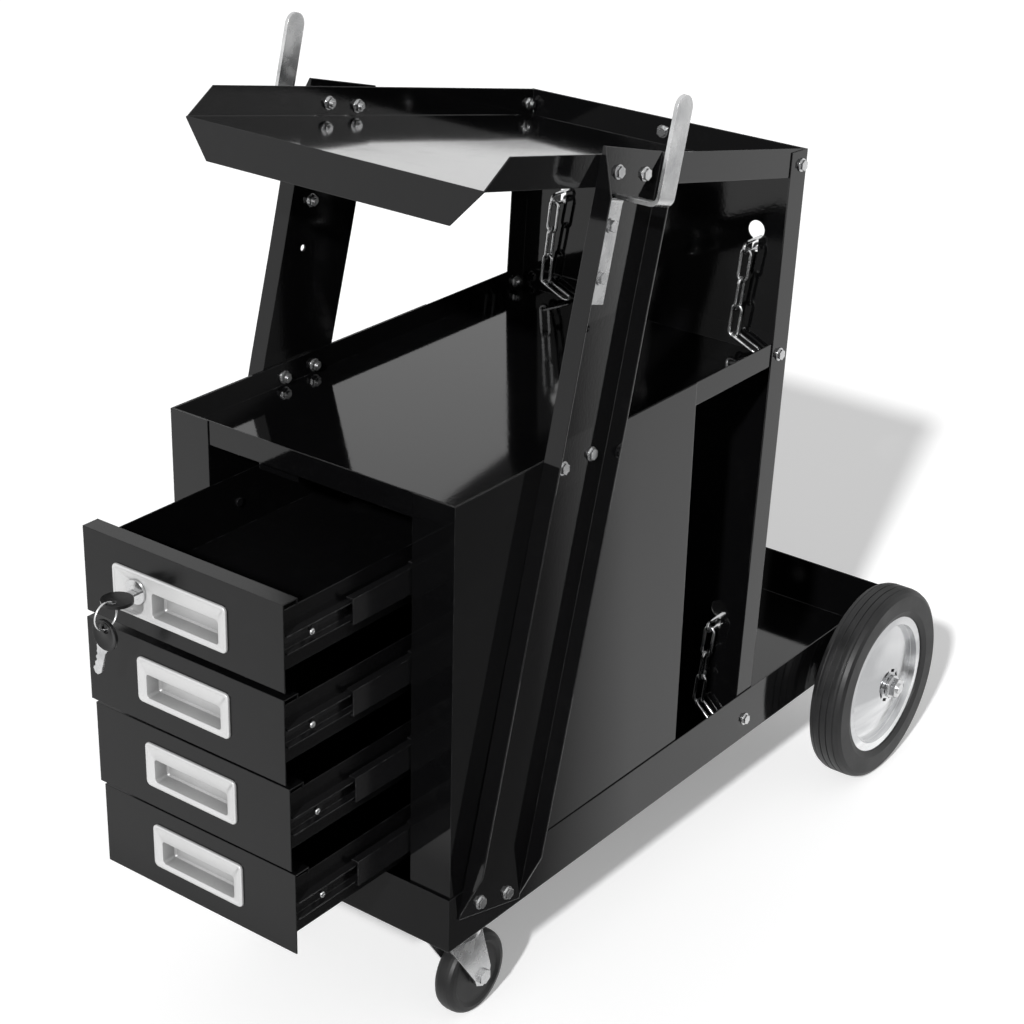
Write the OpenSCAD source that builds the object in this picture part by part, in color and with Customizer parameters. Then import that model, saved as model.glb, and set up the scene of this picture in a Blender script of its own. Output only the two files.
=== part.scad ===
// Welding cart: an open frame of folded sheet metal with three trays, a cabinet of four drawers,
// two fixed wheels behind and two swivel casters in front.
// Millimetres. +Z is up, the drawers open towards -Y, and the gas bottle stands at the +Y end.
// The origin is on the floor, under the middle of the cart as it stands here.

/* [Sheet metal] */
// Thickness of the folded sheets
sheet_t = 1; // [0.8:0.1:1.2]
// Thickness of the slanted legs
leg_t = 1.5; // [1.2:0.1:2]

/* [Base tray] */
// Outside width of the base tray
base_w = 284; // [270:1:300]
// Length of the base tray behind the rear axle
base_tail = 69; // [60:1:80]
// Height of the underside of the base tray above the rear axle
base_rise = 15.5; // [13:0.5:20]
// Height of the base tray's lips
base_lip = 48; // [44:1:52]

/* [Middle shelf] */
// Height of the shelf lips above the underside of the base tray
shelf_rise = 379.5; // [375:0.5:390]
// Height of the shelf's lips above its own floor
shelf_lip = 20; // [17:1:24]

/* [Cabinet] */
// Distance from the front of the base tray to the cabinet's front edge
cabinet_y = 2; // [1.5:0.5:4]
// Depth of the cabinet
cabinet_l = 310; // [302:1:320]
// Width of the cabinet's front stiles
stile_w = 39.5; // [36:0.5:43]
// Width of the turned edges that join the slide panels to the cabinet
panel_edge = 14; // [10:1:18]

/* [Back panel] */
// Lean of the back panel from the vertical, top towards the rear
back_lean = 3; // [2.5:0.25:3.5]
// Distance from the front of the base tray to the foot of the back panel
back_y = 431; // [422:1:440]
// Width of the back panel's turned side edges
back_edge = 23; // [20:1:27]
// Distance between the left and right keyholes
keyhole_span = 201; // [180:1:210]
// Height of the upper keyholes above the underside of the base tray
keyhole_high = 464.5; // [455:0.5:480]
// Height of the lower keyholes above the underside of the base tray
keyhole_low = 112.5; // [105:0.5:125]
// Diameter of a keyhole's round end
keyhole_d = 16; // [14:0.5:18]
// Width of a keyhole's slot
keyhole_slot_w = 6; // [5:0.5:7]
// Length of a keyhole's slot below the centre of its round end
keyhole_slot_l = 19; // [18:0.5:22]

/* [Top tray] */
// Height of the top tray at the rear above the underside of the base tray
top_rise = 541.5; // [535:0.5:550]
// Tilt of the top tray, front edge high
top_tilt = 11.4; // [9:0.2:13]
// Length of the top tray along its slope
top_l = 434; // [425:1:450]
// Height of the top tray's lips above its own floor
top_lip = 24; // [20:1:27]
// How far the front ends of the side lips are cut back
top_lip_cut = 25; // [15:1:35]
// Depth of the front edge that is turned down
top_nose = 28; // [22:1:34]
// How far the ends of the turned-down edge are cut back
top_nose_cut = 25; // [15:1:35]

/* [Legs] */
// Lean of the legs from the vertical, top towards the rear
leg_lean = 15.1; // [14.5:0.1:15.7]
// Width of a leg
leg_w = 80; // [74:1:84]
// Length of a leg
leg_l = 602; // [598:1:606]
// Distance from the front of the base tray to the middle of a leg's foot
leg_y = 49.5; // [47:0.5:52]
// Height of the middle of a leg's foot above the underside of the base tray
leg_rise = 15; // [12:0.5:16.5]
// Depth of a leg's turned edges, measured from the frame
leg_edge = 15; // [12:1:20]
// Length over which the turned edges taper off at both ends of a leg
leg_taper = 40; // [20:1:60]
// Distance of the bolt line behind the middle of a leg
bolt_line = 2; // [0:0.5:4]
// Distance between the two bolts of a pair
bolt_pair = 36; // [30:1:40]

/* [Cable hooks] */
// Width of a hook's flat bar
hook_w = 20; // [16:1:22]
// Thickness of a hook's flat bar
hook_t = 3; // [2:0.5:4]
// Distance from the leg to the outside of the hook's upright
hook_reach = 46; // [40:1:60]
// Length of the hook's upright above its bend
hook_up = 79; // [60:1:95]
// Outside radius of a hook's bends
hook_round = 8; // [5:1:10]
// Distance between a hook's two bolts
hook_pitch = 39; // [36:1:42]
// Distance of the hook's middle line in front of the middle of the leg
hook_line = 17; // [15:0.5:19]

/* [Drawers] */
// Gap between the top drawer's front and the shelf
head_gap = 18.6; // [17.6:0.2:30]
// Gap between neighbouring drawer fronts
front_gap = 5.3; // [4:0.1:5.5]
// Gap between a drawer front and each stile
front_side_gap = 3; // [2:0.5:4]
// Depth of the turned top edge of a drawer front
front_return = 15; // [12:1:18]
// Height of the small lip on the turned top edge
front_lip = 5; // [3:0.5:6]
// Height of a drawer box as a share of its front
box_share = 0.68; // [0.58:0.01:0.72]
// Length of a drawer box
box_l = 272; // [264:1:290]
// Height of the box's floor above the foot of its front, as a share of that front
box_rise_share = 0.18; // [0.15:0.01:0.2]
// How far the first drawer stands open
open_1 = 134; // [0:1:240]
// How far the second drawer stands open
open_2 = 135; // [0:1:240]
// How far the third drawer stands open
open_3 = 131; // [0:1:240]
// How far the fourth drawer stands open
open_4 = 127; // [0:1:240]

/* [Drawer slides] */
// Height of a slide's fixed member
rail_h = 27; // [25:0.5:30]
// Thickness of a slide, from the drawer box to the slide panel
rail_w = 10; // [9.5:0.1:11]
// Thickness of the slide members' sheet
rail_t = 1; // [0.8:0.1:1.1]
// Length of a slide member
rail_l = 250; // [240:1:275]
// Distance from the drawer front to the front end of its slide
rail_set = 4; // [3:0.5:8]
// Travel of a drawer from closed to fully out
travel = 240; // [200:5:240]
// Diameter of the slides' balls
ball_d = 1.9; // [1.7:0.1:2]

/* [Drawer pulls] */
// Width of a drawer pull
pull_w = 92; // [84:1:100]
// Height of a drawer pull as a share of its front
pull_share = 0.54; // [0.48:0.01:0.58]
// How far a pull stands proud of its drawer front
pull_proud = 2; // [1.5:0.25:3]
// Width of the finger pocket
pocket_w = 75; // [64:1:78]
// Width of the first pull's finger pocket
first_pocket_w = 66; // [56:1:68]
// Height of the finger pocket as a share of its pull
pocket_share = 0.54; // [0.46:0.01:0.59]
// Depth of the finger pocket behind the drawer front
pocket_depth = 12; // [9:0.5:14]
// Height of a pull's middle above the foot of its front, as a share of that front
pull_z_share = 0.53; // [0.51:0.01:0.55]
// The same share for the first pull
first_pull_z_share = 0.45; // [0.44:0.01:0.48]
// Width of the part of the first pull that carries the lock
lock_plate_w = 21; // [18:1:26]
// Height of the lock's middle above the middle of the first pull
lock_rise = 3; // [0:0.5:4]

/* [Lock and keys] */
// Diameter of the lock's face ring
lock_ring_d = 19; // [18:0.5:21]
// Diameter of the lock's threaded housing
lock_body_d = 15; // [14:0.25:16]
// Diameter of the turning plug
plug_d = 11; // [10:0.25:11.5]
// Length of the lock's housing behind its face ring
lock_body_l = 17; // [15:0.5:20]
// Distance from the lock's middle to the left of the cart's middle
lock_x = 43; // [42:0.5:46]
// Length of the locking cam from the lock's middle to its tip
cam_l = 50; // [47:1:52]
// Diameter of a key's grip
bow_d = 24; // [20:1:26]
// Thickness of a key's grip
bow_t = 2.6; // [2:0.2:3]
// Diameter of the split ring, measured at the middle of its wire
ring_d = 21; // [19:0.5:22]
// Thickness of the split ring's wire
ring_wire = 1.6; // [1.2:0.1:1.8]

/* [Chains] */
// Thickness of the chain's wire
wire_d = 3; // [2.5:0.1:3.2]
// Outside length of a chain link
link_l = 32; // [30:0.5:34]
// Outside width of a chain link
link_w = 12; // [11.5:0.1:12.5]
// Number of links that hang behind the back panel, an odd number
loop_links = 11; // [11, 13]

/* [Rear wheels] */
// Outside diameter of a rear wheel
wheel_d = 190; // [185:1:196]
// Width of a rear tyre
tyre_w = 34; // [30:1:38]
// Diameter of a wheel's steel rim as a share of the wheel's diameter
rim_share = 0.716; // [0.67:0.01:0.74]
// Distance from the base tray's side to the tyre
wheel_gap = 8.5; // [7:0.5:12]
// Distance from the front of the base tray to the rear axle
axle_y = 621; // [600:1:630]
// Diameter of the rear axle
axle_d = 10; // [9:0.5:12]

/* [Front casters] */
// Diameter of a caster wheel
caster_d = 73; // [68:1:75]
// Width of a caster wheel
caster_w = 20; // [18:1:24]
// Distance of a caster's swivel axis from the side of the base tray
caster_inset = 37; // [36:1:44]
// Distance of the swivel axis from the front of the base tray
caster_y = 46; // [42:1:60]
// Distance by which a caster wheel trails behind its swivel axis
trail = 28; // [22:1:30]
// Thickness of the fork's metal
fork_t = 2.5; // [2:0.1:3]

/* [Bolts] */
// Thread diameter of the frame's bolts
bolt_d = 5; // [4.5:0.5:6]
// Width across the flats of the bolt heads and nuts
bolt_flats = 8; // [7.5:0.5:10]
// Height of a bolt head
bolt_head_h = 3.5; // [3:0.25:5]

/* [Hidden] */

$fn = 48;
overrun = 2;

// Clearances: a bolt in its hole, a shaft that turns, parts that pass each other, wires that hang together
bolt_clear = 0.2;
turn_clear = 0.06;
pass_clear = 0.3;

// The sheets lie in layers from the outside in: base tray, then cabinet sides and back panel, then shelf
base_half = base_w / 2;
side_half = base_half - sheet_t;
shelf_half = side_half - sheet_t;
opening_w = 2 * (side_half - stile_w);
base_l = axle_y + base_tail;
caster_x = base_half - caster_inset;
base_z = wheel_d / 2 + base_rise;
shelf_z = base_z + shelf_rise;
top_z = base_z + top_rise;
keyhole_high_z = base_z + keyhole_high;
keyhole_low_z = base_z + keyhole_low;
leg_z = base_z + leg_rise;
base_floor = base_z + sheet_t;
shelf_floor = shelf_z - shelf_lip;
cabinet_rear = cabinet_y + cabinet_l;
drawer_rows = 4;
row_clear = 1;
rows_h = shelf_floor - head_gap - base_z - base_lip - row_clear;
front_h = (rows_h + front_gap) / drawer_rows - front_gap;
box_h = front_h * box_share;
box_rise = front_h * box_rise_share;
pull_h = front_h * pull_share;
pocket_h = pull_h * pocket_share;
pull_z = front_h * pull_z_share;
first_pull_z = front_h * first_pull_z_share;
opens = [open_1, open_2, open_3, open_4];

// Lock sizes along its axis, from its ring face to the back of its housing
lock_ring_t = 2;
collar_t = 1.5;
collar_step = 1;
lock_back = lock_ring_t + lock_body_l;

// Bolt sizes that follow the thread
bolt_hole = bolt_d + 2 * bolt_clear;
flats_to_corners = 2 / sqrt(3);
bolt_flange_d = bolt_flats * 1.4;
bolt_flange_t = bolt_head_h * 0.3;
nut_h = bolt_d * 0.85;
bolt_tail = bolt_d * 0.35;

// Front face of the back panel at a height above the floor
function back_face(z) = back_y + (z - base_floor) * tan(back_lean);
// A point of the leg's own frame, q across it and s along it, as [y, z]
function leg_point(q, s) = [leg_y + s * sin(leg_lean) + q * cos(leg_lean),
                            leg_z + s * cos(leg_lean) - q * sin(leg_lean)];
// The foot of drawer front i, where 1 is the top drawer, and its front face
function front_foot(i) = base_z + base_lip + row_clear + (drawer_rows - i) * (front_h + front_gap);
function front_face(i) = cabinet_y - opens[i - 1];

// Bolt places as [y, z]: the leg's pairs, the hook's pair and the back panel's row
leg_low_s = bolt_pair * 0.27;
leg_high_s = leg_l - bolt_pair * 0.49;
low_pair = [for (k = [-1, 1]) leg_point(k * bolt_pair / 2 + bolt_line, leg_low_s)];
high_pair = [for (k = [-1, 1]) leg_point(k * bolt_pair / 2 + bolt_line, leg_high_s)];
middle_z = shelf_z - shelf_lip * 0.6;
middle_y = leg_y + (middle_z - leg_z) * tan(leg_lean);
middle_pair = [for (k = [-1, 1]) [middle_y + k * bolt_pair / 2 + bolt_line, middle_z]];
hook_high_s = leg_high_s - hook_pitch;
hook_foot_s = hook_high_s - hook_pitch - hook_w;
hook_bend_s = hook_high_s + hook_w * 1.2;
hook_tip_s = hook_bend_s + hook_up;
hook_pair = [for (k = [0, 1]) leg_point(-hook_line, hook_high_s - k * hook_pitch)];
spare_hole = leg_point(-hook_line, hook_high_s - 2 * hook_pitch);
top_bolt_z = top_z - top_lip / 2;
back_row_shares = [0.3, 0.5, 0.3];
back_row_heights = [base_z + base_lip * 0.4, middle_z, top_bolt_z];
back_row = [for (k = [0 : 2])
  [back_face(back_row_heights[k]) - back_edge * back_row_shares[k], back_row_heights[k]]];

// Length of the back panel along its lean, and how far its foot is lifted so that it clears the tray
back_h = (top_z - base_floor) / cos(back_lean);
back_foot = sheet_t * tan(back_lean);

module place() translate([0, -mid_y, 0]) children();

// A round bar along +X, +Y or any sheet's own normal
module x_rod(d, l) rotate([0, 90, 0]) cylinder(d = d, h = l);
module y_rod(d, l) rotate([-90, 0, 0]) cylinder(d = d, h = l);
module x_holes(places, d = bolt_hole)
  for (p = places) translate([-base_w, p[0], p[1]]) x_rod(d, 2 * base_w);
// A flat outline in Y and Z, made thick along X and centred
module yz_plate(w) translate([-w / 2, 0, 0]) rotate([90, 0, 90]) linear_extrude(w) children();
module both_sides() { children(); mirror([1, 0, 0]) children(); }

// A tray with a flat floor and lips all round
module base_tray() place() color("#101012") difference() {
  translate([-base_half, 0, base_z]) cube([base_w, base_l, base_lip]);
  translate([-side_half, sheet_t, base_floor])
    cube([2 * side_half, base_l - 2 * sheet_t, base_lip + overrun]);
  x_holes(concat(low_pair, [back_row[0]]));
  for (x = [-caster_x, caster_x]) translate([x, caster_y, base_z]) caster_hole_places()
    translate([0, 0, -overrun]) cylinder(d = bolt_hole, h = sheet_t + 2 * overrun);
  both_sides() bracket_bolt_places()
    translate([0, 0, -overrun]) cylinder(d = bolt_hole, h = sheet_t + 2 * overrun);
}

// A catch is folded down under the shelf, in front of the cam of the closed and locked drawer
catch_w = 40;
catch_h = 14;
catch_gap = 0.6;
catch_y = cabinet_y - pull_proud - lock_ring_t + lock_back + pass_clear + collar_t - catch_gap - sheet_t;
module lock_catch() translate([-lock_x - catch_w / 2, catch_y, shelf_floor]) {
  translate([0, 0, -catch_h]) cube([catch_w, sheet_t, catch_h + sheet_t]);
  translate([0, 0, -sheet_t]) cube([catch_w, catch_h, 2 * sheet_t]);
}

// The shelf's rear lip leans with the back panel
module shelf_outline(inset, drop)
  polygon([[cabinet_y + sheet_t + inset, shelf_floor + drop],
           [back_face(shelf_floor + drop) - inset, shelf_floor + drop],
           [back_face(shelf_z + overrun) - inset, shelf_z + overrun],
           [cabinet_y + sheet_t + inset, shelf_z + overrun]]);
module middle_shelf() place() color("#101012") difference() {
  union() {
    yz_plate(2 * shelf_half) shelf_outline(0, 0);
    lock_catch();
  }
  yz_plate(2 * (shelf_half - sheet_t)) shelf_outline(sheet_t, sheet_t);
  translate([-base_w, 0, shelf_z]) cube([2 * base_w, base_l, 2 * overrun]);
  x_holes(concat(middle_pair, [back_row[1]]));
}

// The top tray in its own frame: v runs rearwards along the slope from the rear edge, w is square to it
lean_in_tray = tan(top_tilt - back_lean);
module in_top_tray() translate([0, back_face(top_z), top_z]) rotate([-top_tilt, 0, 0]) children();
module top_tray() place() color("#101012") difference() {
  in_top_tray() {
    skin = sheet_t / cos(top_tilt - back_lean);
    heel = top_lip * lean_in_tray;
    yz_plate(2 * shelf_half)
      polygon([[-top_l, -top_lip], [heel, -top_lip], [heel - sheet_t * lean_in_tray, sheet_t - top_lip],
               [-top_l, sheet_t - top_lip]]);
    yz_plate(2 * shelf_half) polygon([[heel, -top_lip], [0, 0], [-skin, 0], [heel - skin, -top_lip]]);
    both_sides() translate([shelf_half - sheet_t / 2, 0, 0]) yz_plate(sheet_t)
      polygon([[-top_l, -top_lip], [heel, -top_lip], [0, 0], [top_lip_cut - top_l, 0]]);
    translate([0, sheet_t - top_l, 0]) rotate([90, 0, 0]) linear_extrude(sheet_t)
      polygon([[-shelf_half, sheet_t - top_lip], [shelf_half, sheet_t - top_lip], [shelf_half, -top_lip],
               [shelf_half - top_nose_cut, -top_lip - top_nose],
               [top_nose_cut - shelf_half, -top_lip - top_nose], [-shelf_half, -top_lip]]);
  }
  x_holes(concat(high_pair, [back_row[2]]));
  centre_bolt_hole();
}

// The back panel in its own frame: v is square to it, w runs up it
module in_back_panel() translate([0, back_y, base_floor]) rotate([-back_lean, 0, 0]) children();
function back_w(z) = (z - base_floor) / cos(back_lean);
module keyhole() {
  translate([0, -sheet_t - overrun, 0]) y_rod(keyhole_d, 2 * sheet_t + 2 * overrun);
  translate([-keyhole_slot_w / 2, -sheet_t - overrun, -keyhole_slot_l])
    cube([keyhole_slot_w, 2 * sheet_t + 2 * overrun, keyhole_slot_l]);
}
module centre_bolt_hole() in_back_panel() translate([0, -2 * overrun, back_w(top_bolt_z)])
  y_rod(bolt_hole, 4 * overrun + sheet_t);
module back_panel() place() color("#101012") difference() {
  in_back_panel() difference() {
    union() {
      translate([-side_half, 0, back_foot]) cube([2 * side_half, sheet_t, back_h - back_foot]);
      both_sides() translate([shelf_half, -back_edge, back_foot])
        cube([sheet_t, back_edge + sheet_t, back_h - back_foot]);
    }
    both_sides() for (z = [keyhole_low_z, keyhole_high_z])
      translate([keyhole_span / 2, 0, back_w(z)]) keyhole();
  }
  x_holes(back_row);
  centre_bolt_hole();
}

// A leg springs in by one sheet at the shelf and by two at the top tray, as the bolts pull it home
leg_rest = shelf_lip / 2;
leg_line = [[base_half, 0], [base_half, base_z + base_lip + leg_rest],
            [side_half, shelf_floor - leg_rest], [side_half, shelf_z + leg_rest],
            [shelf_half, leg_point(0, hook_foot_s)[1] - leg_rest], [shelf_half, top_z + top_l]];
module leg_band(depth) translate([0, base_l, 0]) rotate([90, 0, 0]) linear_extrude(2 * base_l)
  polygon(concat(leg_line, [for (k = [len(leg_line) - 1 : -1 : 0]) leg_line[k] + [depth, 0]]));
module in_leg() translate([0, leg_y, leg_z]) rotate([-leg_lean, 0, 0]) children();
module leg() difference() {
  union() {
    intersection() {
      leg_band(leg_t);
      in_leg() translate([0, -leg_w / 2, 0]) cube([base_w, leg_w, leg_l]);
    }
    intersection() {
      leg_band(leg_edge);
      in_leg() for (q = [-leg_w / 2, leg_w / 2 - leg_t]) translate([0, q + leg_t, 0]) rotate([90, 0, 0])
        linear_extrude(leg_t) polygon([[0, 0], [base_half, 0], [base_half + leg_edge, leg_taper],
          [base_half + leg_edge, leg_l - leg_taper], [base_half, leg_l], [0, leg_l]]);
    }
  }
  x_holes(concat(low_pair, middle_pair, high_pair, hook_pair, [spare_hole]));
}
module left_leg() place() color("#101012") mirror([1, 0, 0]) leg();
module right_leg() place() color("#101012") leg();

// A cabinet side stands outside the shelf's lip and inside the base tray's, and turns in at the front
module cabinet_side() difference() {
  union() {
    translate([shelf_half, cabinet_y, base_floor]) cube([sheet_t, cabinet_l, shelf_z - base_floor]);
    translate([opening_w / 2, cabinet_y, base_floor])
      cube([side_half - opening_w / 2, sheet_t, shelf_z - base_floor]);
  }
  x_holes(concat(low_pair, middle_pair));
}
module cabinet_left_side() place() color("#101012") mirror([1, 0, 0]) cabinet_side();
module cabinet_right_side() place() color("#101012") cabinet_side();
module cabinet_back() place() color("#101012")
  translate([-shelf_half, cabinet_rear - sheet_t, base_floor])
    cube([2 * shelf_half, sheet_t, shelf_floor - base_floor]);

// Inside the cabinet, a folded panel on each side carries the slides
module slide_panels() place() color("#101012") both_sides()
  translate([opening_w / 2, cabinet_y + sheet_t, base_floor]) {
    depth = cabinet_l - 2 * sheet_t;
    height = shelf_floor - base_floor;
    cube([sheet_t, depth, height]);
    for (y = [0, depth - sheet_t]) translate([0, y, 0]) cube([panel_edge, sheet_t, height]);
  }

// Slides. Each member is a channel; the next one runs inside it on balls.
race_gap = ball_d + 2 * turn_clear;
middle_h = rail_h - 2 * rail_t - 2 * race_gap;
inner_h = middle_h - 2 * rail_t - 2 * race_gap;
box_half = opening_w / 2 - rail_w;
web_gap = rail_t / 2;
box_middle = box_rise + box_h / 2;
rail_start = cabinet_y + rail_set;
// A channel that opens towards the drawer when its web is outside, x from its inner to its outer face
module channel(x0, x1, h, web_outside) translate([x0, 0, -h / 2]) difference() {
  cube([x1 - x0, rail_l, h]);
  translate([web_outside ? -overrun : rail_t, -overrun, rail_t])
    cube([x1 - x0 - rail_t + overrun, rail_l + 2 * overrun, h - 2 * rail_t]);
}
middle_out = opening_w / 2 - rail_t - web_gap;
inner_out = middle_out - rail_t - web_gap;
lip_back = rail_w * 0.3;
module outer_rails() place() color("#26272a") both_sides() for (i = [1 : drawer_rows])
  translate([0, rail_start, front_foot(i) + box_middle])
    channel(box_half + lip_back, opening_w / 2, rail_h, true);

// A cage holds a few balls between two members
cage_balls = 3;
cage_pitch = ball_d * 6;
cage_w = ball_d * 1.5;
cage_t = ball_d * 0.5;
cage_x = (box_half + lip_back + inner_out) / 2;
module ball_cage(z) translate([cage_x, 0, z]) {
  translate([-cage_w / 2, -cage_pitch / 2, -cage_t / 2]) cube([cage_w, cage_balls * cage_pitch, cage_t]);
  for (k = [0 : cage_balls - 1]) translate([0, k * cage_pitch, 0]) sphere(d = ball_d, $fn = 24);
}
cage_front_y = cage_pitch;
cage_rear_y = rail_l - (cage_balls + 1) * cage_pitch;
module middle_rails(i) place() color("#26272a") both_sides()
  translate([0, rail_start - opens[i - 1] / 2, front_foot(i) + box_middle]) {
    channel(box_half + 2 * rail_t, middle_out, middle_h, true);
    for (k = [-1, 1]) {
      translate([0, cage_rear_y, 0]) ball_cage(k * (middle_h + race_gap) / 2);
      translate([0, cage_front_y, 0]) ball_cage(k * (inner_h + race_gap) / 2);
    }
  }

// The inner member is riveted to the side of the drawer box
rivet_d = rail_t * 3.6;
rivet_head_d = rail_t * 7;
rivet_head_t = rail_t * 1.6;
rivet_share = [0.13, 0.6];
module rivet_places() for (f = rivet_share) translate([0, rail_start - cabinet_y + f * rail_l, 0]) children();
module inner_rails(i) place() translate([0, front_face(i), front_foot(i) + box_middle]) both_sides() {
  color("#26272a") difference() {
    translate([0, rail_start - cabinet_y, 0]) channel(box_half, inner_out, inner_h, false);
    rivet_places() x_rod(rivet_d + 2 * turn_clear, base_half);
  }
  color("#c8cace") rivet_places() {
    translate([box_half - sheet_t - rivet_head_t, 0, 0]) x_rod(rivet_head_d, rivet_head_t);
    translate([box_half - sheet_t - rivet_head_t, 0, 0])
      x_rod(rivet_d, 2 * rivet_head_t + sheet_t + rail_t);
    translate([box_half + rail_t, 0, 0]) x_rod(rivet_head_d, rivet_head_t);
  }
}

// Drawer box: an open pan. Its front wall lies against the back of the drawer front.
module drawer_box(i) place() color("#141416") translate([0, front_face(i), front_foot(i)]) difference() {
  translate([-box_half, sheet_t, box_rise]) cube([2 * box_half, box_l, box_h]);
  translate([sheet_t - box_half, 2 * sheet_t, box_rise + sheet_t])
    cube([2 * (box_half - sheet_t), box_l - 2 * sheet_t, box_h]);
  translate([0, 0, box_middle]) both_sides() rivet_places() x_rod(rivet_d + 2 * turn_clear, base_half);
  pull_window(i);
}
front_half = opening_w / 2 - front_side_gap;
module drawer_front(i) place() color("#101012") translate([0, front_face(i), front_foot(i)]) difference() {
  union() {
    translate([-front_half, 0, 0]) cube([2 * front_half, sheet_t, front_h]);
    translate([-front_half, 0, front_h - sheet_t]) cube([2 * front_half, front_return, sheet_t]);
    translate([-front_half, front_return - sheet_t, front_h - front_lip])
      cube([2 * front_half, sheet_t, front_lip]);
  }
  pull_window(i);
}

// A pull is a bevelled plate with a finger pocket whose walls slope in. The first one also takes the lock.
pull_wall = pull_proud * 0.6;
pocket_low = pull_h / 2 - pocket_h / 2 - pull_proud * 2.25;
pocket_slope = pocket_depth * 0.35;
function pull_mid(i) = i == 1 ? first_pull_z : pull_z;
// Widths left and right of the cart's middle; the first pull's pocket is centred right of the lock
first_pocket_x = 4;
first_pull_right = first_pocket_x + first_pocket_w / 2 + pull_proud * 4;
first_pull_left = lock_x + lock_plate_w + pull_proud * 2;
function pull_left(i) = i == 1 ? -first_pull_left : -pull_w / 2;
function pull_right(i) = i == 1 ? first_pull_right : pull_w / 2;
function pocket_x(i) = i == 1 ? first_pocket_x : 0;
function pocket_half(i) = (i == 1 ? first_pocket_w : pocket_w) / 2;
// A block whose four sides slope in by the slope over the depth, from y = 0 towards +Y
module sloped_block(x0, x1, z0, z1, depth, slope) intersection() {
  translate([0, 0, z0]) linear_extrude(z1 - z0)
    polygon([[x0, 0], [x1, 0], [x1 - slope, depth], [x0 + slope, depth]]);
  translate([x0, 0, 0]) rotate([90, 0, 90]) linear_extrude(x1 - x0)
    polygon([[0, z0], [0, z1], [depth, z1 - slope], [depth, z0 + slope]]);
}
module pull_window(i) {
  z = pull_mid(i) - pocket_low;
  window_w = pocket_half(i) + pull_wall + pass_clear;
  window_h = pocket_h / 2 + pull_wall + pass_clear;
  translate([pocket_x(i) - window_w, -overrun, z - window_h])
    cube([2 * window_w, 2 * sheet_t + 2 * overrun, 2 * window_h]);
  if (i == 1) translate([-lock_x, -overrun, first_pull_z + lock_rise])
    y_rod(lock_body_d + 2 * bolt_clear, 2 * sheet_t + 2 * overrun);
}
module drawer_pull(i) place() color("#b9bbbd") translate([0, front_face(i), front_foot(i) + pull_mid(i)])
  difference() {
    x = pocket_x(i);
    z = -pocket_low;
    half_w = pocket_half(i);
    half_h = pocket_h / 2;
    union() {
      mirror([0, 1, 0]) sloped_block(pull_left(i), pull_right(i), -pull_h / 2, pull_h / 2,
        pull_proud, pull_proud);
      sloped_block(x - half_w - pull_wall, x + half_w + pull_wall, z - half_h - pull_wall,
        z + half_h + pull_wall, pocket_depth, pocket_slope);
    }
    translate([0, -pull_proud - overrun, 0]) sloped_block(
      x - half_w - pull_wall, x + half_w + pull_wall, z - half_h - pull_wall, z + half_h + pull_wall,
      pull_proud + overrun + pocket_depth - pull_wall, pocket_slope);
    if (i == 1) translate([-lock_x, -pull_proud - overrun, lock_rise])
      y_rod(lock_body_d + 2 * bolt_clear, pull_proud + 2 * overrun);
  }

// Cam lock in the first drawer, in a frame whose origin is the middle of the lock's ring face
lock_z = front_foot(1) + first_pull_z + lock_rise;
module in_lock() translate([-lock_x, front_face(1) - pull_proud - lock_ring_t, lock_z])
  children();
module lock_housing() place() color("#c8cace") in_lock() difference() {
  union() {
    y_rod(lock_ring_d, lock_ring_t);
    y_rod(lock_body_d, lock_back);
  }
  translate([0, -overrun, 0]) y_rod(plug_d + 2 * turn_clear, lock_back + 2 * overrun);
}
lock_nut_t = 4;
module lock_nut() place() color("#b0b2b6") in_lock()
  translate([0, lock_ring_t + pull_proud + 2 * sheet_t, 0]) rotate([-90, 0, 0]) difference() {
    cylinder(d = lock_ring_d * flats_to_corners, h = lock_nut_t, $fn = 6);
    translate([0, 0, -overrun]) cylinder(d = lock_body_d + 2 * turn_clear, h = lock_nut_t + 2 * overrun);
  }
// The plug has a keyway, a collar that traps it behind the housing and a post for the cam
key_w = 7;
key_t = 2;
key_in = 15;
key_out = 5;
key_clear = 0.2;
cam_t = 2;
cam_w = 11;
post_d = 5;
module lock_plug() place() color("#d6d8da") in_lock() difference() {
  union() {
    y_rod(plug_d, lock_back);
    translate([0, lock_back + pass_clear, 0]) y_rod(plug_d + 2 * collar_step, collar_t);
    translate([0, lock_back - pass_clear, 0]) y_rod(plug_d, 2 * pass_clear);
    translate([0, lock_back, 0]) y_rod(post_d, pass_clear + collar_t + cam_t);
  }
  translate([-key_w / 2 - key_clear, -overrun, -key_t / 2 - key_clear])
    cube([key_w + 2 * key_clear, key_in + overrun + key_clear, key_t + 2 * key_clear]);
}
// At rest the cam lies to the right behind the pocket; turned up it stands behind the catch
module lock_cam() place() color("#b0b2b6") in_lock()
  translate([0, lock_back + pass_clear + collar_t, 0]) difference() {
    union() {
      y_rod(cam_w, cam_t);
      translate([0, 0, -cam_w / 2]) cube([cam_l, cam_t, cam_w]);
    }
    translate([0, -overrun, 0]) y_rod(post_d + 2 * turn_clear, cam_t + 2 * overrun);
  }

// Keys: a flat blade with a plastic grip that has a hole for the split ring
grip_hole_d = 8;
grip_rim = 2;
blade_root = 6;
grip_end = -bow_d / 2;
module grip() difference() {
  cylinder(d = bow_d, h = bow_t, center = true);
  translate([grip_end + grip_rim + grip_hole_d / 2, 0, 0])
    cylinder(d = grip_hole_d, h = bow_t + 2 * overrun, center = true);
  translate([bow_d / 2 - blade_root, -key_w / 2, -key_t / 2]) cube([bow_d, key_w, key_t]);
}
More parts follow.
